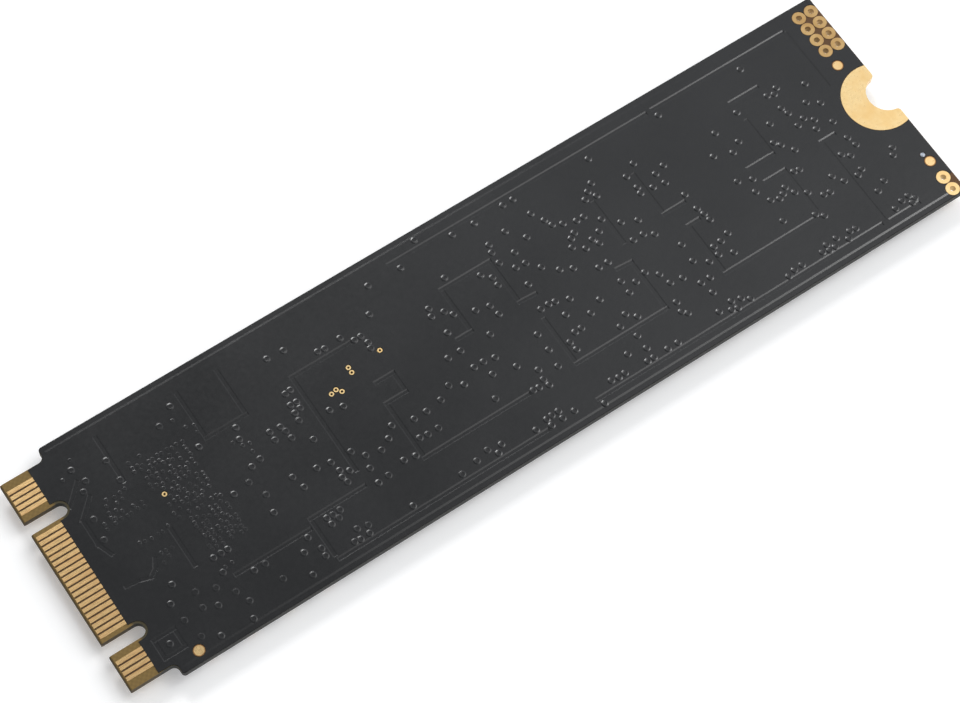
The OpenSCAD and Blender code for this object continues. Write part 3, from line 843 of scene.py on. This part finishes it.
@dataclass
class TentedVias:
    """Vias whose pads show through the mask as low buttons with a dimple.

    Attributes:
        dimple_d: Depth of the dimple, as a share of the height.
        sides: Number of sides.
        room: Least distance between two vias, as a share of both foot radii.
        clear: Least distance from a via's foot to bare metal.
        stray: How far a via of a patch strays, as a share of the patch's pitch.
        rise: Distances from the connector tip between which the vias grow taller.
        lift_near: Least and most height at the first, as a share of the tallest.
        lift_far: Least and most height at the second.
    """

    dimple_d: float = 0.33
    sides: int = 12
    room: float = 0.78
    clear: float = 0.08
    stray: float = 0.26
    rise: Point = (12.0, 58.0)
    lift_near: Point = (0.32, 0.64)
    lift_far: Point = (0.82, 0.98)

    BETWEEN_CONNECTOR_AND_FLASH = (
        (5.3, 8.0), (8.0, 7.2), (8.1, 5.2), (13.0, 7.4), (14.6, 8.4), (14.7, 4.2), (7.0, -4.4),
        (6.1, -5.7), (8.2, -5.9), (10.8, -5.7), (9.7, -6.5), (6.3, -7.4), (8.0, -7.3), (9.1, -7.8),
        (10.8, -7.6), (11.3, -8.8), (14.4, -8.7), (4.4, -8.4), (6.7, -9.2), (8.0, -10.0),
        (10.8, -10.2), (14.9, -0.7), (10.8, -4.3), (11.5, -4.3), (12.1, -4.3), (12.9, -6.9),
        (13.9, -6.9), (5.2, 5.9), (5.8, 6.6), (4.7, 3.5), (4.5, 1.6), (18.0, 4.0), (17.7, 3.0),
        (17.3, 0.5), (18.2, 0.7), (16.4, -0.5), (17.0, -2.1), (16.7, -3.7), (17.8, -6.9),
        (16.9, -7.8), (16.5, -9.7),
    )
    UNDER_FLASH_ONE = (
        (22.5, 1.8), (22.6, -0.2), (23.2, 7.7), (24.7, 7.6), (25.0, 1.2), (26.1, 0.9), (19.5, -2.0),
        (19.8, -3.2), (21.5, -2.4), (22.7, -2.6), (24.5, -2.7), (22.9, -4.7), (25.3, -3.6),
        (25.0, -4.7), (26.6, -3.9), (27.6, -3.4), (24.9, -6.1), (25.9, -6.0), (27.6, -5.6),
        (28.6, -5.8), (28.4, -2.6), (30.2, -3.1), (31.4, -3.1), (29.7, -4.7), (30.4, -4.8),
        (31.4, -4.8), (21.4, -8.4), (22.3, -8.6), (26.1, -9.2), (30.8, -9.1), (32.2, 6.5), (33.5, 8.7),
        (32.9, -2.9), (32.4, -8.8),
    )
    UNDER_FLASH_TWO = (
        (36.6, 8.6), (38.9, 10.1), (41.8, 8.8), (43.9, 8.7), (46.8, 8.8), (47.8, 8.8), (39.1, 5.9),
        (43.8, 6.4), (45.6, 6.7), (43.6, 5.7), (46.8, 5.3), (36.5, 4.3), (36.3, 3.6), (37.4, 3.4),
        (37.9, 2.8), (41.7, 4.5), (42.4, 3.8), (43.6, 4.6), (45.2, 4.7), (42.4, 3.0), (44.5, 3.5),
        (45.4, 3.4), (39.6, 2.1), (40.8, 1.8), (36.6, 1.7), (41.0, 0.8), (44.5, 1.7), (47.4, 1.4),
        (35.4, -0.2), (36.6, -0.2), (39.4, -0.3), (44.1, -0.7), (46.6, -1.2), (34.1, -2.2),
        (35.2, -2.8), (36.7, -2.0), (37.6, -2.0), (38.6, -2.2), (37.6, -3.3), (39.6, -3.8),
        (42.6, -2.4), (42.6, -4.0), (44.4, -4.4), (44.5, -5.2), (45.5, -2.2), (47.3, -3.2),
        (36.6, -5.2), (40.9, -5.0), (42.4, -5.6), (33.6, -8.5), (34.8, -8.7), (34.2, -9.2),
        (37.8, -9.2), (41.3, -9.5), (43.7, -10.3), (47.7, -7.8),
    )
    UNDER_FLASH_THREE = (
        (48.3, 6.9), (48.9, 5.8), (49.2, 5.1), (50.0, 4.7), (51.1, 4.3), (51.8, 4.3), (49.8, 3.2),
        (50.3, 3.5), (49.4, 2.5), (50.3, 1.8), (51.2, 2.2), (51.5, 1.6), (52.1, 2.5), (52.9, 3.3),
        (54.1, 6.5), (53.4, 6.0), (52.8, 5.5), (53.8, 5.3), (54.1, 2.2), (55.4, 1.6), (54.0, 0.3),
        (55.0, 0.3), (55.8, -0.2), (48.4, 0.9), (50.2, -0.2), (51.1, -0.2), (55.2, 8.5), (48.6, -2.6),
        (51.0, -2.2), (51.0, -3.4), (52.0, -2.9), (53.1, -2.6), (54.0, -3.4), (54.3, -4.5),
        (49.6, -4.8), (50.3, -5.5), (48.6, -5.5), (55.4, -4.7), (53.7, -6.2), (49.3, -6.9),
        (49.3, -8.2), (53.9, -7.5), (56.4, -5.9), (56.7, -7.1), (48.7, -9.2), (49.3, -9.2),
        (50.7, -9.2), (51.7, -9.2), (56.1, -8.8),
    )
    UNDER_FLASH_FOUR = (
        (56.9, 5.4), (58.1, 6.1), (57.1, 4.1), (57.0, 3.5), (58.2, 3.4), (59.1, 4.3), (59.3, 3.2),
        (60.1, 4.6), (60.0, 1.4), (60.1, -0.2), (60.3, -0.9), (60.4, -1.6), (57.1, -2.2),
        (57.0, -3.9), (58.1, -4.7), (59.2, -3.8), (59.1, -4.6), (60.0, -3.7), (60.9, -3.4),
        (60.3, -5.1), (57.3, -5.9), (64.1, 3.0), (62.5, 8.7), (68.2, 5.3), (71.3, 5.2), (71.9, 5.0),
        (72.4, 5.4), (65.5, 4.7), (74.7, 4.4), (66.7, 3.0), (65.7, 2.4), (71.6, 3.6), (71.8, 2.9),
        (69.9, 2.9), (73.7, 2.9), (74.7, 2.2), (72.6, 1.8), (71.8, 1.5), (73.3, 1.2), (69.1, 1.3),
        (69.5, 0.8), (70.2, -0.2), (72.9, 0.4), (74.5, 0.2), (64.4, 0.0), (65.6, -0.5), (65.1, -1.6),
        (68.9, -1.8), (69.4, -1.9), (65.7, -2.9), (67.4, -2.6), (66.9, -3.0), (66.4, -3.2),
        (67.8, -3.4), (68.7, -4.0), (73.2, -2.7), (73.8, -3.2), (74.6, -1.7), (74.8, -2.6),
        (71.3, -3.9), (69.7, -4.9), (70.3, -5.0), (71.9, -4.8), (73.2, -5.0), (73.8, -4.7),
        (77.2, -4.5), (76.8, -5.1), (65.4, -5.0), (68.0, -6.0), (74.7, -6.6), (73.7, -7.1),
        (64.3, -9.1), (66.4, -9.1), (74.8, -8.9), (73.9, -9.2), (70.9, 8.5),
    )
    PLAIN_PATCHES = (
        (20.5, 1.5, 3, 3, 0.6, 0.7), (23.0, 3.5, 2, 4, 0.6, 0.7), (28.0, 5.9, 5, 1, 0.6, 0.7),
        (30.4, 4.6, 2, 3, 0.6, 0.7), (23.2, -3.7, 2, 2, 0.6, 0.8), (20.6, -6.6, 3, 2, 0.6, 0.9),
        (18.1, -8.5, 1, 2, 0.6, 1.0), (21.3, -9.3, 3, 1, 0.6, 1.0), (46.5, 2.2, 2, 2, 0.6, 0.9),
        (45.2, -0.7, 2, 1, 0.6, 1.0), (45.5, -3.7, 2, 2, 0.6, 0.9), (40.2, -6.1, 3, 2, 0.6, 1.0),
        (39.6, -9.2, 3, 2, 0.55, 0.9), (45.9, -9.1, 3, 1, 0.6, 1.0), (57.9, -9.0, 4, 2, 0.6, 0.8),
        (63.5, -9.2, 3, 1, 0.6, 1.0), (67.5, -9.0, 3, 2, 0.55, 0.9), (69.3, -9.0, 4, 2, 0.55, 0.8),
        (75.7, -9.1, 2, 2, 0.55, 1.0), (68.8, -6.6, 2, 1, 0.6, 1.0), (53.4, -7.3, 1, 2, 0.6, 1.0),
    )
    FINE_PATCHES = (
        (7.2, 3.3, 6, 5, 0.50, 0.6), (5.7, 3.0, 3, 4, 0.50, 0.6), (7.9, -0.2, 6, 1, 0.5, 0.9),
        (11.8, 4.3, 10, 6, 0.44, 0.75), (12.0, 1.4, 9, 7, 0.44, 0.7), (12.6, -1.9, 8, 9, 0.42, 0.85),
        (9.6, 5.6, 4, 3, 0.5, 0.5), (8.4, -2.4, 4, 3, 0.6, 0.4), (14.6, 6.4, 3, 4, 0.6, 0.4),
        (5.0, 8.2, 3, 3, 0.6, 0.4), (11.2, -5.0, 5, 3, 0.5, 0.4), (17.6, 2.0, 3, 4, 0.6, 0.35),
    )

    def _patch(self, chance: random.Random, patch: Sequence[float]) -> list[Point]:
        """Lists the vias of one patch, a grid with some places left out.

        Args:
            chance: The source of chance.
            patch: Its middle, columns, rows, pitch and share of places kept.

        Returns:
            Each via's place along and across the card.
        """
        x, y, columns, rows, pitch, kept = patch
        spots = []
        for place in range(int(columns * rows)):
            i, j = divmod(place, int(rows))
            shift = [chance.uniform(-self.stray, self.stray) * pitch for _ in range(2)]
            along = x + (i - (columns - 1) / 2) * pitch + shift[0]
            across = y + (j - (rows - 1) / 2) * pitch + shift[1]
            if chance.random() < kept:
                spots.append((along, across))
        return spots

    def _places(self, card: Card, chance: random.Random) -> list[tuple[Point, ViaSize]]:
        """Lists the vias that have room on the bare side.

        Args:
            card: The card.
            chance: The source of chance.

        Returns:
            Each via's place and size.
        """
        wanted = [
            (spot, ViaSize.PLAIN)
            for spot in (
                *self.BETWEEN_CONNECTOR_AND_FLASH, *self.UNDER_FLASH_ONE, *self.UNDER_FLASH_TWO,
                *self.UNDER_FLASH_THREE, *self.UNDER_FLASH_FOUR,
            )
        ]
        for patch in self.PLAIN_PATCHES:
            wanted += [(spot, ViaSize.PLAIN) for spot in self._patch(chance, patch)]
        for patch in self.FINE_PATCHES:
            wanted += [(spot, ViaSize.FINE) for spot in self._patch(chance, patch)]
        bare = ("screw_notch_plating", "header_eyelets", "probe_eyelets", "open_vias", "test_pads")
        metal = [solid for name in bare for solid in card.solids_of(name)]
        metal += card.solids_of("tinned_via")
        taken: list[tuple[Point, ViaSize]] = []
        for spot, size in wanted:
            foot = size.value[0]
            on_metal = any(math.dist(spot, at) < foot + half + self.clear for at, half in metal)
            near = any(
                math.dist(spot, at) < self.room * (foot + other.value[0]) for at, other in taken
            )
            if not on_metal and not near:
                taken.append((spot, size))
        return taken

    def _button(self, size: ViaSize) -> bpy.types.Mesh:
        """Spins one button round the origin, its foot just under z = 0.

        Args:
            size: Its size.

        Returns:
            Its mesh.
        """
        sunk = 0.002
        foot_r, rim_r, dimple_r, height = size.value
        floor = height * (1 - self.dimple_d)
        profile = ((0, floor), (dimple_r, floor), (rim_r, height), (foot_r, -sunk), (0, -sunk))
        shape = bmesh.new()
        verts = [shape.verts.new((r * MM, 0, z * MM)) for r, z in profile]
        edges = [shape.edges.new(pair) for pair in zip(verts, verts[1:])]
        bmesh.ops.spin(
            shape, geom=verts + edges, cent=(0, 0, 0), axis=(0, 0, 1), angle=math.tau,
            steps=self.sides, use_merge=True,
        )
        bmesh.ops.remove_doubles(shape, verts=shape.verts, dist=0.0005 * MM)
        bmesh.ops.recalc_face_normals(shape, faces=shape.faces)
        for face in shape.faces:
            face.smooth = True
        for edge in shape.edges:
            level = abs(edge.verts[0].co.z - edge.verts[1].co.z) < 0.0001 * MM
            edge.smooth = not level
        mesh = bpy.data.meshes.new("one_via")
        shape.to_mesh(mesh)
        shape.free()
        return mesh

    def _lift(self, chance: random.Random, along: float) -> float:
        """Draws the height of one via, as a share of the tallest.

        Args:
            chance: The source of chance.
            along: The via's distance from the connector tip.

        Returns:
            The share.
        """
        start, end = self.rise
        far = min(max((along - start) / (end - start), 0), 1)
        least, most = (a + (b - a) * far for a, b in zip(self.lift_near, self.lift_far))
        return chance.uniform(least, most)

    def build(self, card: Card, material: bpy.types.Material) -> None:
        """Makes the buttons of the bare side.

        Args:
            card: The card.
            material: The mask's material.
        """
        chance = random.Random(SEED)
        models = {size: self._button(size) for size in ViaSize}
        shape = bmesh.new()
        for spot, size in self._places(card, chance):
            start = len(shape.verts)
            shape.from_mesh(models[size])
            shape.verts.ensure_lookup_table()
            made = shape.verts[start:]
            bmesh.ops.scale(shape, verts=made, vec=(1, 1, self._lift(chance, spot[0])))
            bmesh.ops.translate(shape, verts=made, vec=card.spot(*spot, card.bare_face))
        for model in models.values():
            bpy.data.meshes.remove(model)
        hand_over(finished_piece("tented_vias", shape, material))


@dataclass(frozen=True)
class SoftLamp:
    """One soft lamp that faces the card.

    Attributes:
        name: Its name.
        way: The direction from the card to it.
        size: Its width and height, in metres.
        level: How bright its face is, where 1 is white.
        distance: Its distance from the card, in metres.
    """

    name: str
    way: Way
    size: Point
    level: float
    distance: float = 0.7

    def build(self) -> None:
        """Hangs the lamp."""
        data = bpy.data.lights.new(self.name, "AREA")
        data.shape = "RECTANGLE"
        data.size, data.size_y = self.size
        data.energy = self.level * math.pi * self.size[0] * self.size[1]
        lamp = bpy.data.objects.new(self.name, data)
        bpy.context.scene.collection.objects.link(lamp)
        direction = Vector(self.way).normalized()
        lamp.location = direction * self.distance
        lamp.rotation_euler = direction.to_track_quat("Z", "Y").to_euler()


@dataclass
class Studio:
    """The floor, the light and the surroundings.

    Attributes:
        floor_r: Radius of the floor, in metres.
        floor_tint: Level of the floor's white.
        lift: What camera rays see added to it.
        floor_gap: How far it lies under the card, in millimetres.
        world_low: Level of the surroundings on the connector's side.
        world_high: Level on the screw end's side.
        world_side: Level of a strip beyond the lower long edge.
        cast: Tint of the surroundings.
        brighten: Directions along the card between which they brighten.
        strip_low: Directions across the card between which the strip starts.
        strip_high: Directions across the card between which it ends.
        strip_along: Directions along the card between which it starts.
        far_lamp: The lamp beyond the upper long edge.
        near_lamp: The lamp beyond the lower one.
    """

    floor_r: float = 4.0
    floor_tint: float = 0.85
    lift: float = 0.25
    floor_gap: float = 0.02
    world_low: float = 0.32
    world_high: float = 0.82
    world_side: float = 2.2
    cast: Colour = (0.97, 1.0, 1.04)
    brighten: Point = (0.15, 0.34)
    strip_low: Point = (-0.6, -0.2)
    strip_high: Point = (0.13, 0.26)
    strip_along: Point = (0.1, 0.3)
    far_lamp: SoftLamp = SoftLamp("far_lamp", (0.147, 0.669, 0.726), (0.20, 0.20), 13.0)
    near_lamp: SoftLamp = SoftLamp("near_lamp", (0.527, -0.076, 0.844), (0.15, 0.15), 7.0)

    @staticmethod
    def _seen_directly(graph: Graph) -> Signal:
        """Tells how the floor is looked at.

        Args:
            graph: The floor's graph.

        Returns:
            A signal that is 1 for camera, glossy and transmission rays.
        """
        path = graph.add("ShaderNodeLightPath", {}, {})
        camera, glossy, through = (
            Signal(graph, path.outputs[name])
            for name in ("Is Camera Ray", "Is Glossy Ray", "Is Transmission Ray")
        )
        return camera.math("MAXIMUM", camera, glossy.math("MAXIMUM", glossy, through))

    def floor(self) -> None:
        """Lays a pale floor that keeps the card's shadow.

        It is clear from below, and lets soft light through to the chips' side.
        """
        graph = new_graph("floor")
        seen = self._seen_directly(graph)
        lifted = seen.blend(grey(0.0), grey(self.lift))
        paint = graph.node(
            "ShaderNodeBsdfPrincipled",
            sockets={
                "Base Color": grey(self.floor_tint), "Roughness": 0.9, "Emission Color": lifted,
                "Emission Strength": 1.0, "Specular IOR Level": 0.0,
            },
        )
        below = graph.node("ShaderNodeNewGeometry", output="Backfacing")
        open_to = below.math("MAXIMUM", below, 1 - seen)
        clear = graph.node("ShaderNodeBsdfTransparent")
        graph.node_out(graph.node("ShaderNodeMixShader", {}, {0: open_to, 1: paint, 2: clear}))
        shape = bmesh.new()
        bmesh.ops.create_circle(shape, cap_ends=True, radius=self.floor_r, segments=64)
        bmesh.ops.translate(shape, verts=shape.verts, vec=(0, 0, -self.floor_gap * MM))
        finished_piece("floor", shape, graph.owner)

    def world(self) -> None:
        """Surrounds the card with grey that brightens towards the screw end."""
        world = bpy.data.worlds.new("surroundings")
        bpy.context.scene.world = world
        graph = Graph(world)
        way = graph.node("ShaderNodeTexCoord", output="Generated")
        along = graph.node("ShaderNodeSeparateXYZ", sockets={0: way}, output="X")
        across = graph.node("ShaderNodeSeparateXYZ", sockets={0: way}, output="Y")
        low, high = (tuple(level * c for c in self.cast) for level in (self.world_low, self.world_high))
        around = along.step(*self.brighten).blend(low, high)
        beside = across.step(*self.strip_low) * (1 - across.step(*self.strip_high))
        in_strip = beside * along.step(*self.strip_along)
        around = in_strip.blend(around, grey(self.world_side))
        path = graph.add("ShaderNodeLightPath", {}, {})
        seen = Signal(graph, path.outputs["Is Camera Ray"]).blend(around, grey(1.0))
        graph.node_out(graph.node("ShaderNodeBackground", {}, {"Color": seen, "Strength": 1.0}))

    def build(self) -> None:
        """Sets up the floor, the surroundings and the two lamps."""
        self.floor()
        self.world()
        self.far_lamp.build()
        self.near_lamp.build()


@dataclass
class Camera:
    """The camera, where the photo was taken from.

    Attributes:
        aim: The point on the bare face in the middle of the picture.
        distance: Distance from that point.
        heading: Direction of view, from the card's length, in degrees.
        elevation: How steeply it looks down, in degrees.
        roll: Its turn about the line of sight, in degrees.
        lens: Focal length for a sensor 36 mm wide.
    """

    aim: Way = (-2.13, -1.10, 2.0)
    distance: float = 213.58
    heading: float = 52.15
    elevation: float = 66.11
    roll: float = 4.28
    lens: float = 99.65

    def build(self) -> None:
        """Makes the camera the scene's own."""
        data = bpy.data.cameras.new("camera")
        data.sensor_fit = "HORIZONTAL"
        data.sensor_width = 36.0
        data.lens = self.lens
        data.clip_start = 0.01
        data.clip_end = 20.0
        camera = bpy.data.objects.new("camera", data)
        bpy.context.scene.collection.objects.link(camera)
        turn = (
            Matrix.Rotation(math.radians(self.heading - 90), 4, "Z")
            @ Matrix.Rotation(math.radians(90 - self.elevation), 4, "X")
            @ Matrix.Rotation(math.radians(self.roll), 4, "Z")
        )
        back = turn.to_3x3() @ Vector((0, 0, self.distance * MM))
        camera.matrix_world = Matrix.Translation(Vector(self.aim) * MM + back) @ turn
        bpy.context.scene.camera = camera


@dataclass
class Board:
    """The laminate, both coatings and all that is plated.

    Attributes:
        rim_w: Width of the dark strip along the long edges, in millimetres.
        fingers: Finish of the contacts.
        pads: Finish of the screw notch, the probe rings and the open vias.
        round_pads: Finish of the test pads.
        rings: Finish of the header's rings.
        filled: Finish of the via that is filled with solder.
    """

    rim_w: float = 0.2
    fingers: GoldPlate = GoldPlate(
        "finger_gold", tint=(0.87, 0.59, 0.275), dull=(0.70, 0.43, 0.19), rough=0.28,
        streak=6.0, grain=0.10, patch=0.5,
    )
    pads: GoldPlate = GoldPlate(
        "pad_gold", tint=(0.81, 0.595, 0.295), dull=(0.74, 0.50, 0.215), rough=0.30
    )
    round_pads: GoldPlate = GoldPlate(
        "round_pad_gold", tint=(0.80, 0.56, 0.27), dull=(0.72, 0.47, 0.20), rough=0.30
    )
    rings: GoldPlate = GoldPlate(
        "ring_gold", tint=(0.53, 0.35, 0.155), dull=(0.42, 0.26, 0.105), rough=0.32
    )
    filled: Tin = Tin("dull_solder", tint=(0.34, 0.37, 0.42), rough=0.45, grain=0.10)

    def _laminate(self, card: Card) -> Laminate:
        """Sets up the laminate for this card.

        Args:
            card: The card.

        Returns:
            The laminate's finish.
        """
        tip, inner_end = (corner.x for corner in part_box("bare_side_contacts"))
        return Laminate(
            face=(0.21, 0.135, 0.042),
            wall=(0.029, 0.031, 0.029),
            # Strips between the contacts: partly the laminate's own darker tone, partly painted shade
            # from the contacts' walls.
            gap_and_shade=(0.070, 0.038, 0.014),
            notch=(0.055, 0.046, 0.024),
            screw_end=(0.115, 0.058, 0.025),
            tip_wall=(0.085, 0.062, 0.032),
            rim=(0.020, 0.020, 0.018),
            core=card.core,
            contacts=(tip, inner_end),
            blocks=card.contact_blocks(),
            edge=(card.half_width - self.rim_w) * MM,
        )

    def dress(self, card: Card, mask: bpy.types.Material) -> None:
        """Gives the board's nodes their finishes.

        Args:
            card: The card.
            mask: The solder mask's material.
        """
        dress(["component_side_mask", "bare_side_mask"], mask)
        dress(["circuit_board"], self._laminate(card).material())
        dress(["bare_side_contacts", "component_side_contacts"], self.fingers.material())
        dress(["screw_notch_plating", "probe_eyelets", "open_vias"], self.pads.material())
        places = [at for at, _ in card.solids_of("test_pads")]
        centres = tuple((card.tip + along * MM, across * MM) for along, across in places)
        dress(["test_pads"], replace(self.round_pads, centres=centres).material())
        dress(["header_eyelets"], self.rings.material())
        dress(["tinned_via"], self.filled.material())


@dataclass
class Packages:
    """The moulded chips and the clock crystal on the hidden side.

    Attributes:
        substrate: Thickness of a package's substrate, in millimetres.
        flash: Finish of the flash packages, but for their substrate's place.
        controller: Finish of the controller, but for its substrate's place.
        plain: Finish of the chips that have a lead frame.
        base: Finish of the crystal's base.
        lid: Finish of its lid.
    """

    substrate: float = 0.24
    flash: Moulding = Moulding("flash_moulding", tint=grey(0.030), rough=0.5)
    controller: Moulding = Moulding("controller_moulding", tint=grey(0.026), rough=0.45)
    plain: Moulding = Moulding("plain_moulding", tint=grey(0.028), rough=0.5)
    base: Fired = Fired(
        "ceramic", tint=(0.40, 0.33, 0.22), fleck=(0.5, 0.42, 0.3), rough=0.5, grain=0.1
    )
    lid: Tin = Tin("lid", tint=(0.74, 0.72, 0.68), rough=0.28, grain=0.4)

    def _on_substrate(self, moulding: Moulding, node: str) -> bpy.types.Material:
        """Puts a moulding on its substrate, which lies on the board's side of a node."""
        board_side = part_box(node)[1].z
        return replace(moulding, substrate_from=board_side - self.substrate * MM).material()

    def dress(self) -> None:
        """Gives the packages their finishes."""
        flash = [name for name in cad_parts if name.startswith("flash_package")]
        dress(flash, self._on_substrate(self.flash, flash[0]))
        dress(["controller"], self._on_substrate(self.controller, "controller"))
        dress(["regulators", "voltage_detector"], self.plain.material())
        dress(["crystal_base"], self.base.material())
        dress(["crystal_lid"], self.lid.material())


@dataclass
class SmallParts:
    """The chip parts, and the solder and tin of everything on the hidden side.

    Attributes:
        capacitor: Finish of the capacitors' bodies.
        resistor: Finish of the resistors' bodies.
        fuse: Finish of the fuse's body.
        ferrite: Finish of the inductors' bodies.
        solder: Finish of the balls, lands and fillets.
        tin: Finish of the terminals and leads.
    """

    capacitor: Fired = Fired(
        "capacitor", tint=(0.30, 0.19, 0.105), fleck=(0.36, 0.24, 0.14), rough=0.45, grain=0.07
    )
    resistor: Fired = Fired("resistor", tint=grey(0.012), fleck=grey(0.03), rough=0.3, grain=0.09)
    fuse: Fired = Fired(
        "fuse", tint=(0.62, 0.62, 0.55), fleck=(0.7, 0.7, 0.64), rough=0.35, grain=0.1
    )
    ferrite: Fired = Fired("ferrite", tint=grey(0.045), fleck=grey(0.09), rough=0.6, grain=0.08)
    solder: Tin = Tin("solder", tint=grey(0.72), rough=0.3, grain=0.12)
    tin: Tin = Tin("tin", tint=grey(0.66), rough=0.42, grain=0.06)

    def dress(self) -> None:
        """Gives the small parts and their metal their finishes."""
        names = list(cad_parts)
        dress([name for name in names if name.endswith("capacitors")], self.capacitor.material())
        dress(["resistors"], self.resistor.material())
        dress(["input_fuse"], self.fuse.material())
        dress(["inductors"], self.ferrite.material())
        balls = [name for name in names if "balls" in name]
        dress(["solder_lands", "solder_fillets", *balls], self.solder.material())
        dress([name for name in names if "terminals" in name or "leads" in name], self.tin.material())


def main() -> None:
    """Builds the camera, the finishes, the pieces and the studio in order."""
    logging.basicConfig(level=logging.INFO, format="%(name)s: %(message)s")
    bpy.context.scene.view_settings.view_transform = "Standard"
    Camera().build()
    card = Card()
    mask = SolderMask().material()
    Board().dress(card, mask)
    Packages().dress()
    SmallParts().dress()
    BareCoat().build(card, mask)
    TentedVias().build(card, mask)
    Studio().build()


if __name__ == "__main__":
    main()
